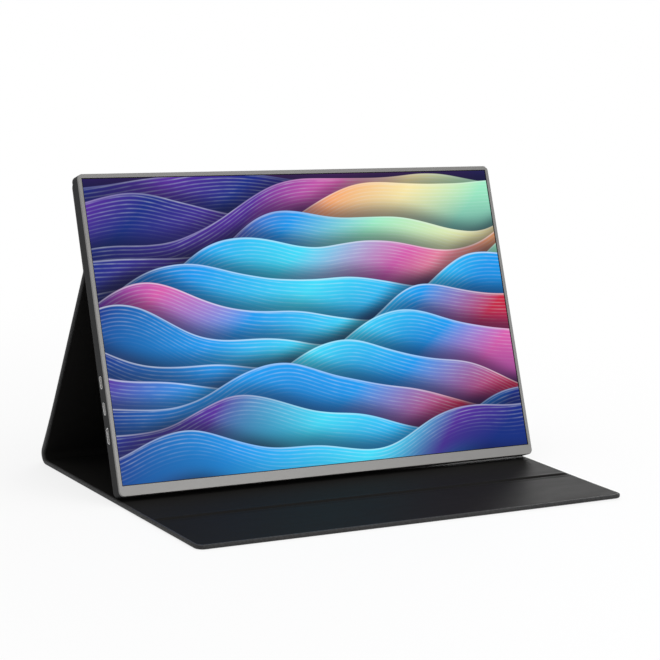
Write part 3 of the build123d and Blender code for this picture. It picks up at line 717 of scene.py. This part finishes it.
def cover_fold():
    """Lays a flat sheet, with corners at (across, along, off its middle), along the cover's line."""
    bar_half, lip_reach = 0.0005, 2.2
    edge_kept, edge_end = 0.0008, 0.0060
    nodes, ask = tree_of("cover_fold", {
        "Geometry": "Geometry", "Line": "Object", "Front crease": "Float", "Rear crease": "Float",
        "Pressed reach": "Float", "Lip": "Float", "Lining left": "Float", "Skin left": "Float",
        "Half width": "Float", "Heel": "Float", "Heel arc": "Float", "Heel reach": "Float",
        "Heel fullness": "Float", "Skin": "Material", "Lining": "Material"})
    runs = nodes.add("GeometryNodeObjectInfo", {}, {"Object": ask["Line"]}, output="Geometry")
    line = nodes.add("GeometryNodeFilletCurve", {"mode": "POLY"},
                     {"Curve": runs, "Count": 64, "Radius": nodes.add("GeometryNodeInputRadius")})
    across = nodes.add("ShaderNodeSeparateXYZ", {}, {0: nodes.add("GeometryNodeInputPosition")})
    along, off = across.beside("Y"), across.beside("Z")
    on_line = nodes.add("GeometryNodeSampleCurve", {"mode": "LENGTH"}, {"Curves": line, "Length": along},
                        output="Position")
    tangent = nodes.add("ShaderNodeSeparateXYZ", {}, {0: on_line.beside("Tangent")})
    ahead, up = tangent.beside("Y"), tangent.beside("Z")
    lined = off.over(0.0)
    left = lined * (ask["Lining left"] - ask["Skin left"]) + ask["Skin left"]
    lip = lined * (ask["Lip"] - 1) + 1
    from_front, from_rear = (abs(along - ask[crease]) for crease in ("Front crease", "Rear crease"))
    front = nodes.fade(from_front, bar_half, ask["Pressed reach"], left, lip)
    after = nodes.fade(from_front, ask["Pressed reach"], ask["Pressed reach"] * lip_reach, lip, 1.0)
    thin = front * after / lip * nodes.fade(from_rear, bar_half, ask["Pressed reach"], left, 1.0)
    inner = nodes.fade(ask["Half width"] - abs(across), edge_kept, edge_end)
    heel_top = ask["Heel"] + ask["Heel arc"]
    past_heel = nodes.fade(along, heel_top, heel_top + ask["Heel reach"])
    rolled = nodes.fade(along, ask["Heel"], heel_top) * (1 - past_heel)
    full = 1 + rolled * (1 - lined) * ask["Heel fullness"]
    depth = off * full * (1 - (1 - thin) * inner)
    shift = nodes.add("ShaderNodeCombineXYZ", {}, {"X": across, "Y": (0 - up) * depth, "Z": ahead * depth})
    place = nodes.add("ShaderNodeVectorMath", {"operation": "ADD"}, {0: on_line, 1: shift})
    folded = nodes.add("GeometryNodeSetPosition", {}, {"Geometry": ask["Geometry"], "Position": place})
    lifted = nodes.add("GeometryNodeGroup", {"node_tree": lift_tree},
                       {"Geometry": folded, "Material": ask["Skin"], **lift_values})
    faces = nodes.add("GeometryNodeInputNamedAttribute", {"data_type": "BOOLEAN"}, {"Name": "lining"})
    return ended(nodes, lifted, ask["Lining"], Selection=faces)


def stations(start, end):
    """Places for the sheet's rows: even ones, with close ones at every crease and bend."""
    even_step, close_step, least_step = 0.007, 0.0003, 0.00025
    front_steps, rear_steps, arc_steps = 22, 13, 20
    close = [at_front_crease + close_step * k for k in range(-front_steps, front_steps + 1)]
    close += [at_rear_crease + close_step * k for k in range(-rear_steps, rear_steps + 1)]
    close += [at_heel + heel_arc * k / arc_steps for k in range(-2, arc_steps + 3)]
    low, high = min(start, end), max(start, end)
    count = max(1, round((high - low) / even_step))
    even = [low + (high - low) * k / count for k in range(count + 1)]
    places = sorted([place for place in close if low < place < high] + even)
    kept = [places[0]]
    for place in places[1:]:
        if place - kept[-1] > least_step:
            kept.append(place)
    kept[-1] = high
    return kept if start < end else kept[::-1]


# Inset from the outline and distance off the middle, in millimetres, from the lining round to the skin.
# The first two strips are the lining's, which ends in a small groove against the turned leather.
edge_turn = [(2.60, 1.60), (2.05, 1.60), (1.97, 1.46), (1.83, 1.46), (1.73, 1.59), (1.25, 1.59), (0.80, 1.50),
             (0.42, 1.28), (0.16, 0.92), (0.03, 0.48), (0.00, 0.00), (0.03, -0.48), (0.16, -0.92),
             (0.42, -1.28), (0.80, -1.50), (1.25, -1.60), (2.60, -1.60)]
lining_strips = 2
columns = 56
corner_rows = 6


def flat_sheet(name, start, end, free):
    """A closed flat piece of the cover between two places along its line. Free: its end is a real edge."""
    verts, faces, lined = [], [], []

    def put(x, s, off):
        verts.append((x, s, off * 0.001))
        return len(verts) - 1

    way = 1 if end > start else -1
    last = end - way * corner_r if free else end
    # A row is its place along the line, its half width, and the way that its ends face, across and along.
    rows = [(s, half_w - rim, 1, 0) for s in stations(start, last)]
    if free:
        reach = corner_r - rim
        for k in range(1, corner_rows + 1):
            turn = math.radians(90 * k / corner_rows)
            rows.append((last + way * reach * math.sin(turn), half_w - corner_r + reach * math.cos(turn),
                         math.cos(turn), math.sin(turn)))

    # The two broad faces.
    top, bottom = [], []
    for s, wide, *_ in rows:
        across = [wide * (2 * k / columns - 1) for k in range(columns + 1)]
        top.append([put(x, s, edge_turn[0][1]) for x in across])
        bottom.append([put(x, s, edge_turn[-1][1]) for x in across])
    for grid, lining_side in ((top, True), (bottom, False)):
        for here, after in zip(grid, grid[1:]):
            for k in range(columns):
                faces.append((here[k], here[k + 1], after[k + 1], after[k]))
                lined.append(lining_side)

    # The turned edge along both sides, and round the end that is free.
    left = [(j, 0, -rows[j][2], rows[j][3]) for j in range(len(rows))]
    right = [(j, columns, rows[j][2], rows[j][3]) for j in range(len(rows))]
    chains = [left, right]
    if free:
        front = [(len(rows) - 1, k, 0.0, 1.0) for k in range(1, columns)]
        chains = [left + front + right[::-1]]
    for chain in chains:
        strips = []
        for j, k, dx, ds in chain:
            s, wide = rows[j][:2]
            x = wide * (2 * k / columns - 1)
            turned = []
            for inset, off in edge_turn[1:-1]:
                reach = rim - inset * 0.001
                turned.append(put(x + dx * reach, s + way * ds * reach, off))
            strips.append([top[j][k], *turned, bottom[j][k]])
        for a, b in zip(strips, strips[1:]):
            for i in range(len(edge_turn) - 1):
                faces.append((a[i], b[i], b[i + 1], a[i + 1]))
                lined.append(i < lining_strips)
        for strip in (strips[0], strips[-1]):
            faces.append(tuple(strip))
            lined.append(False)

    # The ends at which the sheet runs on as another piece.
    for j in (0,) if free else (0, len(rows) - 1):
        for k in range(columns):
            faces.append((top[j][k], top[j][k + 1], bottom[j][k + 1], bottom[j][k]))
            lined.append(False)

    mesh = bpy.data.meshes.new(name + "_flat")
    mesh.from_pydata(verts, [], faces)
    mesh.attributes.new("lining", "BOOLEAN", "FACE").data.foreach_set("value", lined)
    return mesh


def coated_leather():
    leather = Finish("cover_leather")
    pebble = leather.add("ShaderNodeTexVoronoi", {}, {"Vector": leather.place, "Scale": 1100.0})
    hide = leather.add("ShaderNodeTexVoronoi", {"feature": "DISTANCE_TO_EDGE"},
                       {"Vector": leather.place, "Scale": 330.0})
    crinkle = leather.grain(0.0025, 5.0)
    cloud = leather.grain(0.045, 4.0)
    valley = 1 - leather.fade(hide, 0.0, 0.16)
    colour = leather.tint(cloud * 0.7 + pebble * 0.3, (0.0135, 0.0135, 0.0140), (0.0290, 0.0287, 0.0288))
    # Painted shade: the hollows of the grain are darkened in the colour, as their shading would darken them.
    valley_painted_shade = leather.tint(valley * 0.5, colour, (0.0080, 0.0080, 0.0084))
    return leather.done(Base_Color=valley_painted_shade, Roughness=cloud * 0.16 + pebble * 0.10 + valley * 0.08 + 0.40,
                        Specular_IOR_Level=0.30,
                        Normal=leather.relief(pebble * 0.5 + crinkle * 1.2 - valley * 0.5, 0.00014))


def smooth_lining():
    lining = Finish("cover_lining")
    nap = lining.grain(0.0004, 3.0)
    sweep = lining.grain(0.02, 3.0, (1, 3, 3))
    cloud = lining.grain(0.07, 2.0)
    colour = lining.tint(cloud * 0.5 + sweep * 0.5, (0.0085, 0.0082, 0.0078), (0.0135, 0.0131, 0.0125))
    return lining.done(Base_Color=colour, Roughness=sweep * 0.12 + nap * 0.08 + 0.46, Specular_IOR_Level=0.02,
                       Normal=lining.relief(nap * 0.3 + sweep * 1.2, 0.00003))


fold_tree = cover_fold()
leather, lining = coated_leather(), smooth_lining()


def cover_piece(name, start, end, free):
    piece = grown(name, fold_tree, {
        "Line": cover_line, "Front crease": at_front_crease, "Rear crease": at_rear_crease,
        "Pressed reach": 0.0030, "Lip": 1.22, "Lining left": 0.45, "Skin left": 0.80, "Half width": half_w,
        "Heel": at_heel, "Heel arc": heel_arc, "Heel reach": 0.045, "Heel fullness": 1.0,
        "Skin": leather, "Lining": lining}, flat_sheet(name, start, end, free))
    shell = bmesh.new()
    shell.from_mesh(piece.data)
    bmesh.ops.recalc_face_normals(shell, faces=shell.faces)
    shell.to_mesh(piece.data)
    shell.free()
    piece.data.polygons.foreach_set("use_smooth", [True] * len(piece.data.polygons))
    piece.data.set_sharp_from_angle(angle=math.radians(40))
    return piece


floor_panels = cover_piece("cover_base_and_flap", heel_start, 0.0, True)
heel_roll = cover_piece("cover_heel", heel_start, heel_end, False)
back_panels = cover_piece("cover_leg_and_upper", heel_end, whole_length, True)
bpy.data.objects.remove(cover_line)
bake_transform(floor_panels)
after_heel - leg_out * sheet_t / 2
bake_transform(heel_roll)
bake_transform(back_panels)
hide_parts("base_skin", "base_lining", "flap_skin", "flap_lining")
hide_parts("heel_spine")
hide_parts("leg_skin", "leg_lining", "upper_skin", "upper_lining")


# Table, backdrop and light.
# A plain white sweep under a large soft light, with small low ones at the right, in front and behind. White
# is what the camera, metal and glass see of it and of the room, and the object keeps its soft shadow.
def seen_white(nodes):
    """1 for a ray from the camera, or by way of metal or glass, and 0 for one that only lights."""
    ray = nodes.add("ShaderNodeLightPath", output="Is Camera Ray")
    return (ray + ray.beside("Is Glossy Ray") + ray.beside("Is Transmission Ray")).over(0.5)


def white_table():
    sweep = Finish("table_white")
    near, far, near_share = 0.25, 0.80, 0.78
    seen = seen_white(sweep)
    away = sweep.add("ShaderNodeVectorMath", {"operation": "LENGTH"}, {0: sweep.place}, output="Value")
    matt = sweep.add("ShaderNodeBsdfDiffuse", {}, {"Color": (0.9, 0.9, 0.9, 1)})
    white = sweep.add("ShaderNodeEmission", {}, {"Color": (1, 1, 1, 1), "Strength": 1.0})
    share = seen * sweep.fade(away, near, far, near_share, 1.0)
    sweep.add_output(sweep.add("ShaderNodeMixShader", {}, {0: share, 1: matt, 2: white}))
    return sweep.material


table_half, table_z = 6, -0.0001
table_corners = [(table_half * x, table_half * y, table_z) for x, y in ((-1, -1), (1, -1), (1, 1), (-1, 1))]
floor_mesh = bpy.data.meshes.new("table")
floor_mesh.from_pydata(table_corners, [], [(0, 1, 2, 3)])
floor_mesh.materials.append(white_table())
table = bpy.data.objects.new("table", floor_mesh)
bpy.context.scene.collection.objects.link(table)

world = bpy.data.worlds.new("studio")
world.use_nodes = True
sky = Nodes(world.node_tree)
fill_light = 0.65
air = sky.add("ShaderNodeBackground", {},
              {"Color": (1, 1, 1, 1), "Strength": seen_white(sky) * (1 - fill_light) + fill_light})
world.node_tree.links.new(air.socket, world.node_tree.nodes.new("ShaderNodeOutputWorld").inputs["Surface"])
bpy.context.scene.world = world


def soft_light(name, place, target, size, power):
    data = bpy.data.lights.new(name, "AREA")
    data.shape = "SQUARE"
    data.size = size
    data.energy = power
    lamp = bpy.data.objects.new(name, data)
    bpy.context.scene.collection.objects.link(lamp)
    lamp.location = place
    lamp.rotation_euler = (Vector(target) - Vector(place)).to_track_quat("-Z", "Y").to_euler()


soft_light("light_above", (0.2, -0.3, 2.0), (0, 0, 0), 1.8, 16)
soft_light("light_front", (0.42, -0.95, 0.42), (0, 0, 0.02), 0.5, 1.9)
soft_light("light_behind", (1.07, 1.13, 0.40), (0.12, -0.09, 0), 0.5, 4.8)


# Camera, at the photograph's viewing angle.
# It stands in front and to the left of the display, a little above its top, with a long lens.
# Its lens is worked out for a picture 660 pixels across.
picture_px = 660
focal_px = 2197.79
yaw, pitch, roll = 0.56389, -0.18720, 0.05212
camera_at = (-0.83469, -1.30916, 0.40537)
sensor_mm = 36
look = Vector((math.sin(yaw) * math.cos(pitch), math.cos(yaw) * math.cos(pitch), math.sin(pitch)))
level = Vector((math.cos(yaw), -math.sin(yaw), 0))
above = level.cross(look)
right = level * math.cos(roll) + above * math.sin(roll)
upright = above * math.cos(roll) - level * math.sin(roll)
camera_data = bpy.data.cameras.new("camera")
camera_data.sensor_width = sensor_mm
camera_data.lens = sensor_mm * focal_px / picture_px
camera = bpy.data.objects.new("camera", camera_data)
camera.matrix_world = Matrix.Translation(camera_at) @ Matrix((right, upright, -look)).transposed().to_4x4()
bpy.context.scene.collection.objects.link(camera)
bpy.context.scene.camera = camera
bpy.context.scene.view_settings.view_transform = "Standard"
